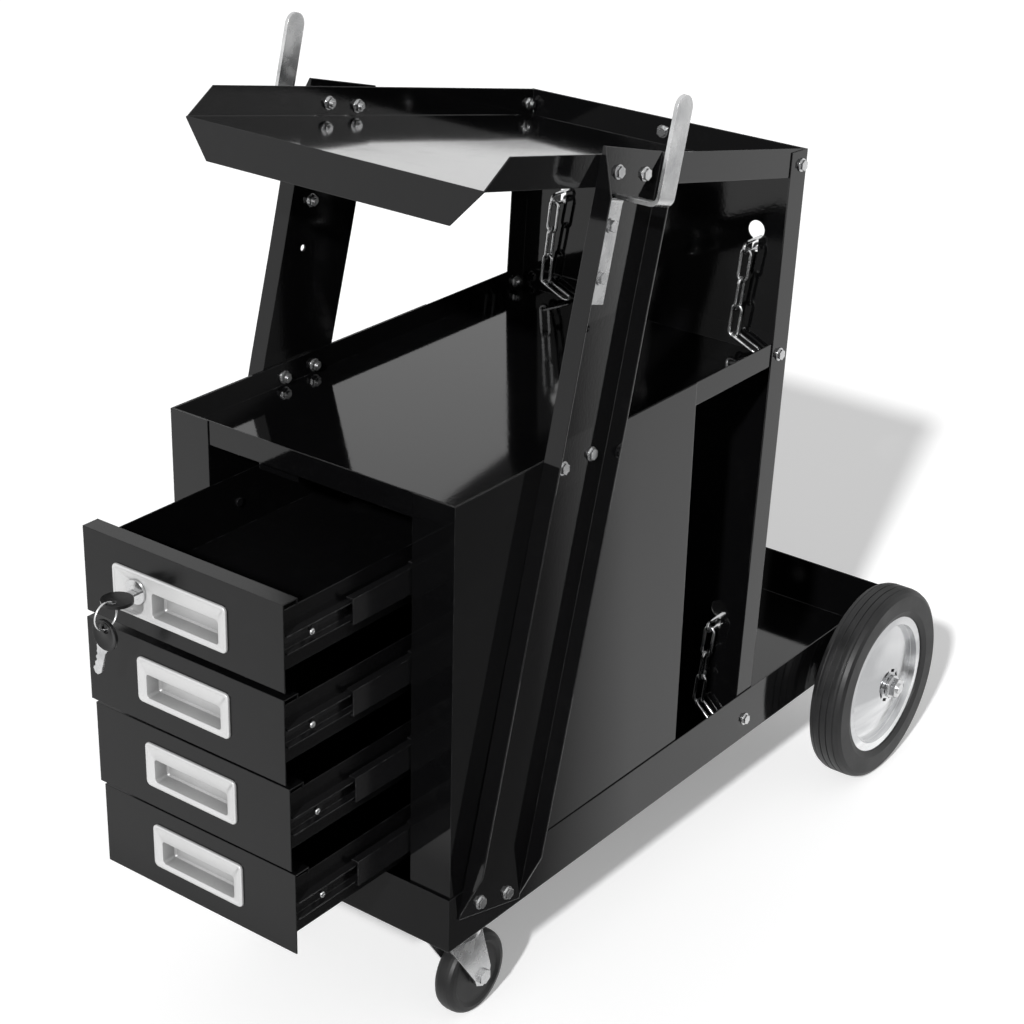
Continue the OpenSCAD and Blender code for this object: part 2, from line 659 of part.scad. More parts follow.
// The blade runs along +X from inside the grip, with a tapered tip
blade_tip = bow_d / 2 + key_out + key_in;
module blade() translate([0, 0, -key_t / 2]) linear_extrude(key_t)
  polygon([[bow_d / 2 - blade_root, -key_w / 2], [blade_tip - key_w / 2, -key_w / 2], [blade_tip, 0],
           [blade_tip - key_w / 2, key_w / 2], [bow_d / 2 - blade_root, key_w / 2]]);
key_y = front_face(1) - pull_proud - lock_ring_t - key_out - bow_d / 2;
module in_key() place() translate([-lock_x, key_y, lock_z]) rotate([0, 0, 90]) children();
module key_grip() in_key() color("#18181a") grip();
module key_blade() in_key() color("#c8cace") blade();
// The split ring hangs over the rim of the grip; its inside clears the rim's upper corners
ring_in = ring_d / 2 - ring_wire / 2 - pass_clear;
ring_side = grip_rim * 0.75;
ring_drop = sqrt(ring_in * ring_in - ring_side * ring_side) - bow_t / 2;
ring_y = key_y + grip_end + grip_rim - ring_side;
ring_z = lock_z - ring_drop;
module key_ring() place() color("#c8cace") translate([-lock_x, ring_y, ring_z]) rotate([0, 90, 0])
  rotate_extrude() translate([ring_d / 2, 0]) circle(d = ring_wire, $fn = 24);
// Middle of the cart between its front-most piece and the rear wheels' back
front_ends = concat([ring_y - ring_d / 2 - ring_wire / 2], [for (i = [2 : drawer_rows]) front_face(i) - pull_proud]);
mid_y = (min(front_ends) + axle_y + wheel_d / 2) / 2;

// Cable hook: a flat bar bolted up the leg, bent out and up again, in the leg's frame
module hook_turn(x, s, from) translate([x, hook_w / 2, s]) rotate([90, 0, 0]) rotate([0, 0, from])
  rotate_extrude(angle = 90) translate([hook_round - hook_t, 0]) square([hook_t, hook_w]);
module hook_bar() {
  x0 = shelf_half + leg_t;
  x1 = x0 + hook_reach;
  translate([0, -hook_line, 0]) {
    translate([x0, -hook_w / 2, hook_foot_s]) cube([hook_t, hook_w, hook_bend_s - hook_round - hook_foot_s]);
    hook_turn(x0 + hook_round, hook_bend_s - hook_round, 90);
    translate([x0 + hook_round, -hook_w / 2, hook_bend_s - hook_t])
      cube([hook_reach - 2 * hook_round, hook_w, hook_t]);
    hook_turn(x1 - hook_round, hook_bend_s - hook_t + hook_round, -90);
    translate([x1 - hook_t, -hook_w / 2, hook_bend_s - hook_t + hook_round])
      cube([hook_t, hook_w, hook_up + hook_t - hook_round - hook_w / 2]);
    translate([x1 - hook_t, 0, hook_tip_s - hook_w / 2]) x_rod(hook_w, hook_t);
  }
}
module hook() difference() {
  in_leg() hook_bar();
  x_holes(hook_pair);
}
module cable_hooks() place() color("#c4c6c8") both_sides() hook();

// A bolt's head sits at x = 0 and its shank runs towards -X through the grip; its nut sits behind the grip
module bolt(grip) {
  x_rod(bolt_flange_d, bolt_flange_t);
  rotate([0, 90, 0]) cylinder(d = bolt_flats * flats_to_corners, h = bolt_head_h, $fn = 6);
  translate([-grip - nut_h - bolt_tail, 0, 0]) x_rod(bolt_d, grip + nut_h + bolt_tail + bolt_flange_t);
}
module nut(grip) translate([-grip - nut_h, 0, 0]) difference() {
  union() {
    rotate([0, 90, 0]) cylinder(d = bolt_flats * flats_to_corners, h = nut_h, $fn = 6);
    translate([nut_h - bolt_flange_t, 0, 0]) x_rod(bolt_flange_d, bolt_flange_t);
  }
  translate([-overrun, 0, 0]) x_rod(bolt_d + 2 * turn_clear, nut_h + 2 * overrun);
}
// Every frame bolt as [y, z, x of its head's seat, grip]
leg_bolts = concat(
  [for (p = low_pair) [p[0], p[1], base_half + leg_t, leg_t + 2 * sheet_t]],
  [for (p = middle_pair) [p[0], p[1], side_half + leg_t, leg_t + 2 * sheet_t]],
  [for (p = high_pair) [p[0], p[1], shelf_half + leg_t, leg_t + sheet_t]],
  [for (p = hook_pair) [p[0], p[1], shelf_half + leg_t + hook_t, leg_t + hook_t]]);
back_bolts = [for (k = [0 : 2]) [back_row[k][0], back_row[k][1], k == 0 ? base_half : side_half, 2 * sheet_t]];
module bolt_row() both_sides() for (b = concat(leg_bolts, back_bolts)) translate([b[2], b[0], b[1]]) {
  $grip = b[3];
  children();
}
// The one bolt that holds the top tray's rear lip to the back panel, head inside the tray
module at_centre_bolt() in_back_panel() translate([0, -sheet_t, back_w(top_bolt_z)]) rotate([0, 0, -90])
  children();
module frame_bolts() place() color("#c8cace") {
  bolt_row() bolt($grip);
  at_centre_bolt() bolt(2 * sheet_t);
  both_sides() bracket_bolt_places() rotate([0, -90, 0]) bolt(sheet_t + bracket_t);
}
module frame_nuts() place() color("#b0b2b6") {
  bolt_row() nut($grip);
  at_centre_bolt() nut(2 * sheet_t);
  both_sides() bracket_bolt_places() rotate([0, -90, 0]) nut(sheet_t + bracket_t);
}

// Chain link, long axis along Z and lying in the XZ plane
bow_r = (link_w - wire_d) / 2;
link_straight = link_l - link_w;
module chain_link() {
  for (k = [-1, 1]) {
    translate([k * bow_r, 0, -link_straight / 2]) cylinder(d = wire_d, h = link_straight, $fn = 24);
    translate([0, 0, k * link_straight / 2]) rotate([-90 * k + 180, 0, 0])
      rotate_extrude(angle = 180) translate([bow_r, 0]) circle(d = wire_d, $fn = 24);
  }
}
// A link from point a to point b; side is the direction that its width follows
module link_between(a, b, side) {
  d = (b - a) / norm(b - a);
  s0 = side - (side * d) * d;
  s = s0 / norm(s0);
  n = cross(d, s);
  c = (a + b) / 2;
  multmatrix([[s[0], n[0], d[0], c[0]], [s[1], n[1], d[1], c[1]], [s[2], n[2], d[2], c[2]]]) chain_link();
}
// A chain bends in a plane square to Y. Links that lie in that plane are gripped inside their ends and
// take the short step; links that stand square to it are gripped by their end bows and take the long step.
wire_gap = 0.3;
nest = wire_d + wire_gap;
long_step = link_l - wire_d;
short_step = long_step - 2 * nest;
// Links from point to point, each point as [x, z], the first link in the plane of the bend
module chain_run(points, y) for (k = [0 : len(points) - 2]) {
  a = points[k];
  b = points[k + 1];
  link_between([a[0], y, a[1]], [b[0], y, b[1]], k % 2 == 0 ? [b[1] - a[1], 0, a[0] - b[0]] : [0, 1, 0]);
}
// The loop's points lie on a circle whose size is found by halving
loop_short = (loop_links + 1) / 2;
loop_long = (loop_links - 1) / 2;
function step_turn(l, r) = 2 * asin(l / 2 / r);
function loop_turn(r) = loop_short * step_turn(short_step, r) + loop_long * step_turn(long_step, r);
function loop_chord(r) = 2 * r * sin(loop_turn(r) / 2);
loop_length = loop_short * short_step + loop_long * long_step;
loop_tries = 30;
function loop_size(lo, hi, n) = n == 0 ? (lo + hi) / 2
  : loop_chord((lo + hi) / 2) > keyhole_span ? loop_size(lo, (lo + hi) / 2, n - 1)
  : loop_size((lo + hi) / 2, hi, n - 1);
loop_r = loop_size(loop_length / 6, loop_length * 10, loop_tries);
function turn_before(k) = ceil(k / 2) * step_turn(short_step, loop_r)
  + floor(k / 2) * step_turn(long_step, loop_r);
function loop_point(k, z) = let (a = turn_before(k) - loop_turn(loop_r) / 2)
  [loop_r * sin(a), z + loop_r * (cos(loop_turn(loop_r) / 2) - cos(a))];
// A captured link lies through each slot; the loop hangs from its rear end and the tail from its front end
capture_shift = 3.5;
capture_arc = (link_l - link_w) / 2;
function slot_rest(z) = z - keyhole_slot_l + wire_gap + wire_d / 2;
function capture_y(z) = back_face(z) + sheet_t / 2 - capture_shift;
// A tail as points: three links hang, the fourth leans down to the floor under it
tail_lean = 6;
function tail_fall(x, z, dir) = let (v = [dir * sin(tail_lean), -cos(tail_lean)], p = [x, z])
  [p, p + short_step * v, p + (short_step + long_step) * v, p + (2 * short_step + long_step) * v];
function tail_end(p, floor_z, dir) = let (drop = p[1] - floor_z - wire_gap - wire_d / 2)
  p + [dir * sqrt(long_step * long_step - drop * drop), -drop];
function tail(x, z, floor_z, lean, dir) = let (t = tail_fall(x, z, lean))
  concat(t, [tail_end(t[3], floor_z, dir)]);
module chain(z, floor_z) {
  low = slot_rest(z);
  y = capture_y(z);
  for (k = [-1, 1])
    link_between([k * keyhole_span / 2, y - link_l / 2, low + bow_r],
      [k * keyhole_span / 2, y + link_l / 2, low + bow_r], [0, 0, 1]);
  chain_run([for (k = [0 : loop_links]) loop_point(k, low)], y + capture_arc);
  chain_run(tail(keyhole_span / 2, low, floor_z, -1, 1), y - capture_arc);
  chain_run(tail(-keyhole_span / 2, low, floor_z, -1, 1), y - capture_arc);
}
module upper_chain() place() color("#c0c2c5") chain(keyhole_high_z, shelf_floor + sheet_t);
module lower_chain() place() color("#c0c2c5") chain(keyhole_low_z, base_floor);

// Rear wheels. The profile is turned about the axle, [radius, distance from the wheel's middle].
wheel_r = wheel_d / 2;
rim_r = wheel_r * rim_share;
wheel_x = base_half + wheel_gap + tyre_w / 2;
rim_t = 2;
rim_step = 6;
seat_r = rim_r - rim_step;
seat_half = tyre_w * 0.35;
hub_d = 22;
hub_proud = 3;
hub_half = tyre_w / 2 + hub_proud;
boss_r = hub_d * 0.85;
disc_high = hub_half - hub_proud;
disc_low = seat_half * 0.6;
groove_w = 1.2;
groove_deep = 1;
function mirrored(half) = concat(half, [for (k = [len(half) - 1 : -1 : 0]) [half[k][0], -half[k][1]]]);
module tyre() rotate([0, 90, 0]) rotate_extrude($fn = 96) difference() {
  polygon(mirrored([[seat_r + wire_gap, seat_half], [rim_r + wire_gap, seat_half],
    [rim_r + wire_gap, tyre_w * 0.44], [rim_r + rim_step, tyre_w / 2], [wheel_r * 0.94, tyre_w / 2],
    [wheel_r * 0.975, tyre_w * 0.44], [wheel_r * 0.994, tyre_w * 0.32], [wheel_r, tyre_w * 0.22]]));
  for (f = [-0.3, -0.1, 0.1, 0.3])
    translate([wheel_r - groove_deep, f * tyre_w - groove_w / 2]) square([2 * groove_deep, groove_w]);
}
vent_count = 8;
vent_r = hub_d * 0.67;
vent_w = 3;
// Two pressed discs, each a shallow cone that rises from the rim to the hub's end
module rim() rotate([0, 90, 0]) difference() {
  union() {
    rotate_extrude($fn = 96)
      polygon(mirrored([[seat_r - rim_t, seat_half + rim_t], [rim_r, seat_half + rim_t], [rim_r, seat_half],
        [seat_r, seat_half]]));
    for (k = [-1, 1]) rotate_extrude($fn = 96)
      polygon([[seat_r - rim_t / 2, k * disc_low], [boss_r, k * disc_high],
        [hub_d / 2 - rim_t / 2, k * disc_high], [hub_d / 2 - rim_t / 2, k * (disc_high - rim_t)],
        [boss_r, k * (disc_high - rim_t)], [seat_r - rim_t / 2, k * (disc_low - rim_t)]]);
    difference() {
      translate([0, 0, -hub_half]) cylinder(d = hub_d, h = 2 * hub_half);
      translate([0, 0, -hub_half - overrun])
        cylinder(d = axle_d + 2 * turn_clear, h = 2 * hub_half + 2 * overrun);
    }
  }
  for (k = [-1, 1], i = [0 : vent_count - 1]) rotate([0, 0, (i + 0.5) * 360 / vent_count])
    translate([vent_r, 0, k * (disc_high - rim_t / 2)])
      cube([vent_w, vent_w * 2.4, rim_t + 2 * overrun], center = true);
}
module right_wheel_place() place() translate([wheel_x, axle_y, wheel_r]) children();
module left_wheel_place() mirror([1, 0, 0]) right_wheel_place() children();
module right_tyre() right_wheel_place() color("#2b2b2d") tyre();
module left_tyre() left_wheel_place() color("#2b2b2d") tyre();
module right_rim() right_wheel_place() color("#d4d5d7") rim();
module left_rim() left_wheel_place() color("#d4d5d7") rim();

// The axle runs under the base tray through two brackets; collars and nuts keep the wheels in place
bracket_t = 3;
bracket_l = 60;
bracket_flange = 36;
bracket_inset = 4;
bracket_half = base_half - bracket_inset;
bracket_drop = base_z - wheel_r + axle_d;
module bracket_bolt_places() for (k = [-1, 1])
  translate([bracket_half - bracket_flange / 2, axle_y + k * bracket_l / 3, base_floor]) children();
module axle_brackets() place() color("#101012") both_sides() difference() {
  union() {
    translate([bracket_half - bracket_flange, axle_y - bracket_l / 2, base_z - bracket_t])
      cube([bracket_flange, bracket_l, bracket_t]);
    translate([bracket_half - bracket_t, axle_y - bracket_l / 2, base_z - bracket_drop])
      cube([bracket_t, bracket_l, bracket_drop]);
  }
  translate([0, axle_y, wheel_r]) x_rod(axle_d + 2 * bolt_clear, base_w);
  bracket_bolt_places() translate([0, 0, -bolt_tail - nut_h - overrun])
    cylinder(d = bolt_hole, h = nut_h + bolt_tail + 2 * overrun);
}
collar_start = wheel_x - hub_half - pass_clear;
washer_t = 1.5;
axle_nut_t = 6;
axle_nut_flats = 17;
axle_tail = 2;
axle_end = wheel_x + hub_half + pass_clear + washer_t + axle_nut_t + axle_tail;
module rear_axle() place() color("#b0b2b6") translate([0, axle_y, wheel_r]) {
  translate([-axle_end, 0, 0]) x_rod(axle_d, 2 * axle_end);
  both_sides() translate([bracket_half, 0, 0]) x_rod(axle_d * 1.8, collar_start - bracket_half);
}
module axle_nuts() place() color("#c8cace") translate([0, axle_y, wheel_r]) both_sides()
  translate([axle_end - axle_tail - axle_nut_t - washer_t, 0, 0]) difference() {
    union() {
      x_rod(axle_nut_flats * 1.3, washer_t);
      translate([washer_t, 0, 0]) rotate([0, 90, 0])
        cylinder(d = axle_nut_flats * flats_to_corners, h = axle_nut_t, $fn = 6);
    }
    translate([-overrun, 0, 0]) x_rod(axle_d + 2 * turn_clear, washer_t + axle_nut_t + 2 * overrun);
  }

// Front casters, in a frame whose origin is on the floor under the swivel axis
plate_l = 60;
plate_w = 70;
plate_t = 2.5;
race_d = 46;
race_t = 6;
crown_d = 53;
kingpin_d = 12;
kingpin_head_d = 22;
kingpin_head_t = 3;
caster_r = caster_d / 2;
plate_under = base_z - plate_t;
crown_top = plate_under - race_t - wire_gap;
crown_skirt = 8;
fork_gap = 2;
fork_half = caster_w / 2 + fork_gap;
caster_axle_d = 8;
caster_hub_d = 18;
fork_tip_r = 10;
module caster_hole_places() for (sx = [-1, 1], sy = [-1, 1])
  translate([sx * plate_w * 0.4, sy * plate_l * 0.38, 0]) children();
module caster_places() for (x = [-caster_x, caster_x]) translate([x, caster_y, 0]) children();
module right_caster() place() translate([caster_x, caster_y, 0]) children();
module left_caster() mirror([1, 0, 0]) right_caster() children();
module caster_plates() place() color("#c8cace") caster_places() difference() {
  union() {
    translate([-plate_w / 2, -plate_l / 2, plate_under]) cube([plate_w, plate_l, plate_t]);
    translate([0, 0, plate_under - race_t]) cylinder(d = race_d, h = race_t);
    translate([0, 0, crown_top - fork_t - wire_gap - kingpin_head_t])
      cylinder(d = kingpin_head_d, h = kingpin_head_t);
    translate([0, 0, crown_top - fork_t - wire_gap - kingpin_head_t])
      cylinder(d = kingpin_d, h = fork_t + 2 * wire_gap + kingpin_head_t + race_t);
  }
  translate([0, 0, plate_under - overrun]) caster_hole_places()
    cylinder(d = bolt_hole, h = plate_t + 2 * overrun);
}
module caster_bolts() place() caster_places() caster_hole_places() translate([0, 0, plate_under])
  rotate([0, 90, 0]) {
    color("#c8cace") bolt(plate_t + sheet_t);
    color("#b0b2b6") nut(plate_t + sheet_t);
  }
// The fork: a shallow crown with two legs that taper down to the axle
module fork() difference() {
  union() {
    translate([0, 0, crown_top - crown_skirt]) difference() {
      cylinder(d = crown_d, h = crown_skirt);
      translate([0, 0, -fork_t]) cylinder(d = crown_d - 2 * fork_t, h = crown_skirt);
    }
    for (x = [-fork_half - fork_t / 2, fork_half + fork_t / 2]) translate([x, 0, 0]) yz_plate(fork_t)
      polygon([[-crown_d * 0.4, crown_top - fork_t / 2], [crown_d * 0.4, crown_top - fork_t / 2],
               [trail + fork_tip_r, caster_r + fork_tip_r / 2], [trail + fork_tip_r * 0.8, caster_r - fork_tip_r * 0.6],
               [trail, caster_r - fork_tip_r], [trail - fork_tip_r * 0.8, caster_r - fork_tip_r * 0.6],
               [trail - fork_tip_r, caster_r], [-crown_d * 0.4, crown_top - crown_skirt]]);
  }
  cylinder(d = kingpin_d + 2 * turn_clear, h = base_z);
  translate([-base_w / 2, trail, caster_r]) x_rod(caster_axle_d + 2 * bolt_clear, base_w);
}
caster_head_t = 3;
module caster_axle() translate([0, trail, caster_r]) {
  reach = fork_half + fork_t;
  translate([-reach - caster_head_t, 0, 0]) x_rod(caster_axle_d, 2 * reach + 2 * caster_head_t);
  for (x = [-reach - caster_head_t, reach]) translate([x, 0, 0]) rotate([0, 90, 0])
    cylinder(d = caster_axle_d * 1.7, h = caster_head_t, $fn = 6);
}
module caster_wheel() translate([0, trail, caster_r]) rotate([0, 90, 0]) rotate_extrude($fn = 96)
  polygon(mirrored([[caster_axle_d / 2 + turn_clear, fork_half - wire_gap],
    [caster_hub_d / 2, fork_half - wire_gap], [caster_hub_d / 2, caster_w * 0.4],
    [caster_r * 0.72, caster_w * 0.4], [caster_r * 0.8, caster_w / 2], [caster_r * 0.9, caster_w * 0.47],
    [caster_r * 0.96, caster_w * 0.37], [caster_r * 0.99, caster_w * 0.24], [caster_r, caster_w * 0.1]]));
module left_caster_fork() left_caster() color("#c8cace") fork();
module right_caster_fork() right_caster() color("#c8cace") fork();
module left_caster_axle() left_caster() color("#b0b2b6") caster_axle();
module right_caster_axle() right_caster() color("#b0b2b6") caster_axle();
module left_caster_wheel() left_caster() color("#1c1c1e") caster_wheel();
module right_caster_wheel() right_caster() color("#1c1c1e") caster_wheel();

base_tray();
middle_shelf();
top_tray();
back_panel();
left_leg();
right_leg();
cabinet_left_side();
cabinet_right_side();
cabinet_back();
slide_panels();
outer_rails();
cable_hooks();
frame_bolts();
frame_nuts();
upper_chain();
lower_chain();
axle_brackets();
rear_axle();
axle_nuts();
left_tyre();
left_rim();
right_tyre();
right_rim();
caster_plates();
caster_bolts();
left_caster_fork();
left_caster_axle();
left_caster_wheel();
right_caster_fork();
right_caster_axle();
right_caster_wheel();
drawer_box(1);  // drawer_1_box
drawer_front(1);  // drawer_1_front
drawer_pull(1);  // drawer_1_pull
inner_rails(1);  // drawer_1_inner_rails
middle_rails(1);  // drawer_1_middle_rails
drawer_box(2);  // drawer_2_box
drawer_front(2);  // drawer_2_front
drawer_pull(2);  // drawer_2_pull
inner_rails(2);  // drawer_2_inner_rails
middle_rails(2);  // drawer_2_middle_rails
drawer_box(3);  // drawer_3_box
drawer_front(3);  // drawer_3_front
drawer_pull(3);  // drawer_3_pull
inner_rails(3);  // drawer_3_inner_rails
middle_rails(3);  // drawer_3_middle_rails
drawer_box(4);  // drawer_4_box
drawer_front(4);  // drawer_4_front
drawer_pull(4);  // drawer_4_pull
inner_rails(4);  // drawer_4_inner_rails
middle_rails(4);  // drawer_4_middle_rails
lock_housing();
lock_nut();
lock_plug();
lock_cam();
key_blade();
key_grip();
key_ring();
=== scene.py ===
import math
import bpy
import bmesh
from mathutils import Matrix, Quaternion, Vector


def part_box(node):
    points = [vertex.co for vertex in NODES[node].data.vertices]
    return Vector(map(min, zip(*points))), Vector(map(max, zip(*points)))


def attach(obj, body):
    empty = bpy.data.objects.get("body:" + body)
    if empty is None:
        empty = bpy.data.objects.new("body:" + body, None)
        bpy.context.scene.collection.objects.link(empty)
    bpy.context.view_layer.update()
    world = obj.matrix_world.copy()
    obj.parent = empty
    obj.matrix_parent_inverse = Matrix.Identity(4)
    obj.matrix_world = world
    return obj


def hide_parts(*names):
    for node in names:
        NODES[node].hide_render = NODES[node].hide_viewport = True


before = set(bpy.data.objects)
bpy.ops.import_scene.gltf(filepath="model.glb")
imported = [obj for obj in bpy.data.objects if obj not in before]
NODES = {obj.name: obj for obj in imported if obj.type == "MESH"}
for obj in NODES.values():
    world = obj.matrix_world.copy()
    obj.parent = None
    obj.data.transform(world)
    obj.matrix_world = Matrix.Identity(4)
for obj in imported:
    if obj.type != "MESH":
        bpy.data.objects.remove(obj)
bpy.context.view_layer.update()


# ---------------------------------------------------------------- materials
class Look:
    """One Principled material and short ways to add the nodes that feed it."""

    def __init__(self, name, **sockets):
        self.m = bpy.data.materials.new(name)
        self.m.use_nodes = True
        self.t = self.m.node_tree
        self.p = self.t.nodes["Principled BSDF"]
        self.at = self.t.nodes.new("ShaderNodeTexCoord").outputs["Object"]
        for key, value in sockets.items():
            self.p.inputs[key.replace("_", " ")].default_value = value

    def new(self, kind, **props):
        """A node of this kind with its properties set."""
        n = self.t.nodes.new(kind)
        for key, value in props.items():
            setattr(n, key, value)
        return n

    def feed(self, node, **values):
        """Link or set each named input of a node."""
        for key, value in values.items():
            socket = node.inputs[key.replace("_", " ")]
            if isinstance(value, bpy.types.NodeSocket):
                self.t.links.new(value, socket)
            else:
                socket.default_value = value
        return node

    def noise(self, scale, detail=2.0, rough=0.5, stretch=(1, 1, 1), distort=0.0):
        """Soft noise of about this many lumps per metre."""
        where = self.feed(self.new("ShaderNodeMapping"), Vector=self.at, Scale=stretch)
        n = self.new("ShaderNodeTexNoise")
        self.feed(n, Vector=where.outputs["Vector"], Scale=scale, Detail=detail, Roughness=rough,
                  Distortion=distort)
        return n.outputs["Fac"]

    def cells(self, scale):
        """One random colour for each small cell."""
        return self.feed(self.new("ShaderNodeTexVoronoi"), Vector=self.at, Scale=scale).outputs["Color"]

    def span(self, fac, low, high, to_low, to_high):
        """Map low..high to to_low..to_high, clamped."""
        n = self.new("ShaderNodeMapRange")
        self.t.links.new(fac, n.inputs["Value"])
        for key, value in (("From Min", low), ("From Max", high), ("To Min", to_low), ("To Max", to_high)):
            n.inputs[key].default_value = value
        return n.outputs["Result"]

    def calc(self, how, a, b):
        """One Math node over two sockets or numbers."""
        n = self.new("ShaderNodeMath", operation=how)
        for socket, value in zip(n.inputs, (a, b)):
            if isinstance(value, bpy.types.NodeSocket):
                self.t.links.new(value, socket)
            else:
                socket.default_value = value
        return n.outputs[0]

    def mix(self, fac, a, b):
        """A colour between a and b, each a socket or a tuple."""
        n = self.new("ShaderNodeMix", data_type="RGBA")
        for name, value in (("Factor", fac), ("A", a), ("B", b)):
            socket = [s for s in n.inputs if s.name == name and (name == "Factor") == (s.type == "VALUE")
                      and s.type in ("VALUE", "RGBA")][0]
            if isinstance(value, bpy.types.NodeSocket):
                self.t.links.new(value, socket)
            else:
                socket.default_value = (*value, 1) if isinstance(value, tuple) else value
        return [s for s in n.outputs if s.type == "RGBA"][0]

    def bump(self, height, strength, distance, under=None):
        """A bumped normal, laid over the normal under it."""
        n = self.feed(self.new("ShaderNodeBump"), Height=height, Strength=strength, Distance=distance)
        if under is not None:
            self.t.links.new(under, n.inputs["Normal"])
        return n.outputs["Normal"]

    def edges(self, radius):
        """1 on the edges of the shape, 0 on its faces."""
        round_off = self.feed(self.new("ShaderNodeBevel", samples=4), Radius=radius)
        true = self.new("ShaderNodeNewGeometry").outputs["Normal"]
        dot = self.new("ShaderNodeVectorMath", operation="DOT_PRODUCT")
        self.t.links.new(round_off.outputs[0], dot.inputs[0])
        self.t.links.new(true, dot.inputs[1])
        return self.span(dot.outputs["Value"], 0.98, 0.80, 0.0, 1.0)

    def eased(self, radius):
        """A normal that rounds the sharp edges a little."""
        return self.feed(self.new("ShaderNodeBevel", samples=4), Radius=radius).outputs[0]

    def wear(self, colour=None, rough=None, normal=None):
        """Link the finished colour, roughness and normal, and give back the material."""
        for socket, value in (("Base Color", colour), ("Roughness", rough), ("Normal", normal)):
            if value is not None:
                self.t.links.new(value, self.p.inputs[socket])
        return self.m


def enamel(name, smooth, dull, ior):
    """Black powder coat, gloss or satin: slight orange peel, soft sheet wobble, dust, rubbed edges with a painted edge
    highlight.
    """
    k = Look(name, IOR=ior)
    cloud = k.noise(5.0, 3.0)
    dust = k.span(k.noise(60.0, 6.0, 0.7), 0.55, 0.78, 0.0, 1.0)
    base = k.mix(cloud, (0.0018, 0.0018, 0.0020), (0.0032, 0.0032, 0.0034))
    base = k.mix(k.calc("MULTIPLY", dust, 0.4), base, (0.0075, 0.0075, 0.0077))
    # lighter edges: partly rubbed wear, partly a painted highlight along the edges
    lighter_edges = k.calc("MULTIPLY", k.edges(0.0008), k.span(k.noise(90.0, 4.0), 0.46, 0.64, 0.04, 1.0))
    base = k.mix(k.calc("MULTIPLY", lighter_edges, 0.5), base, (0.045, 0.045, 0.047))
    rough = k.calc("ADD", k.span(cloud, 0.3, 0.7, smooth, dull), k.calc("MULTIPLY", dust, 0.04))
    wobble = k.bump(k.noise(3.4, 1.0), 0.30, 0.003, k.eased(0.0009))
    return k.wear(base, rough, k.bump(k.noise(420.0, 2.0), 0.07, 0.0002, wobble))


def slide_steel():
    """Black slide steel: rolled lines along the rail, thin oil film, bright rubbed edges."""
    k = Look("black_slide_steel", IOR=1.5)
    line = k.noise(90.0, 3.0, 0.6, (8.0, 0.12, 8.0))
    base = k.mix(line, (0.0035, 0.0035, 0.0037), (0.0085, 0.0085, 0.0090))
    lighter_edges = k.calc("MULTIPLY", k.edges(0.0005), k.span(k.noise(140.0, 3.0), 0.46, 0.62, 0.0, 1.0))
    base = k.mix(k.calc("MULTIPLY", lighter_edges, 0.6), base, (0.14, 0.14, 0.145))
    rough = k.span(line, 0.3, 0.7, 0.12, 0.22)
    return k.wear(base, rough, k.bump(line, 0.10, 0.0002, k.eased(0.0005)))


def silver_plastic():
    """Satin silver paint on moulded plastic: fine flake, faint mould texture, painted shade in the pocket and
    recesses, handled edges.
    """
    k = Look("silver_pull", Metallic=0.25, Specular_IOR_Level=0.5)
    flake = k.cells(5200.0)
    tone = k.noise(28.0, 4.0)
    base = k.mix(tone, (0.47, 0.472, 0.476), (0.54, 0.542, 0.545))
    # painted shade: the colour darkens towards (0.15, 0.152, 0.155) in the pocket and other recesses
    shade = k.feed(k.new("ShaderNodeAmbientOcclusion", samples=8), Distance=0.030).outputs["AO"]
    base = k.mix(k.span(shade, 0.30, 0.80, 0.0, 1.0), (0.15, 0.152, 0.155), base)
    base = k.mix(0.10, base, flake)
    hsv = k.new("ShaderNodeHueSaturation")
    k.feed(hsv, Color=base, Saturation=0.06)
    lighter_edges = k.calc("MULTIPLY", k.edges(0.0006), 0.55)
    base = k.mix(lighter_edges, hsv.outputs[0], (0.70, 0.705, 0.71))
    rough = k.span(tone, 0.3, 0.7, 0.32, 0.44)
    return k.wear(base, rough, k.bump(k.noise(1500.0, 2.0), 0.06, 0.00012, k.eased(0.0006)))


def rubber(name, dark, light):
    """Tyre rubber: worn patches, fine grain and rubbed edges."""
    k = Look(name, Specular_IOR_Level=0.32)
    worn = k.noise(26.0, 5.0, 0.6)
    base = k.mix(k.span(worn, 0.35, 0.68, 0.0, 1.0), dark, light)
    lighter_edges = k.calc("MULTIPLY", k.edges(0.0009), 0.35)
    base = k.mix(lighter_edges, base, tuple(1.9 * c for c in light))
    rough = k.span(worn, 0.3, 0.7, 0.40, 0.58)
    return k.wear(base, rough, k.bump(k.noise(900.0, 3.0), 0.16, 0.00025, k.eased(0.0009)))


def bright_steel():
    """Zinc plated wheel disc: bright pressed metal with soft streaks and darker patches."""
    k = Look("bright_disc_steel", Metallic=1.0)
    streak = k.noise(11.0, 3.0, 0.5, (1.0, 0.45, 1.2), 0.9)
    fine = k.noise(240.0, 3.0, 0.6)
    base = k.mix(k.span(streak, 0.36, 0.62, 0.0, 1.0), (0.45, 0.454, 0.462), (0.88, 0.885, 0.89))
    base = k.mix(k.calc("MULTIPLY", k.edges(0.0007), 0.4), base, (0.92, 0.92, 0.92))
    rough = k.calc("ADD", k.span(streak, 0.3, 0.7, 0.16, 0.24), k.span(fine, 0.4, 0.6, -0.015, 0.02))
    grain = k.bump(fine, 0.04, 0.0001, k.eased(0.0007))
    return k.wear(base, rough, k.bump(streak, 0.22, 0.0016, grain))


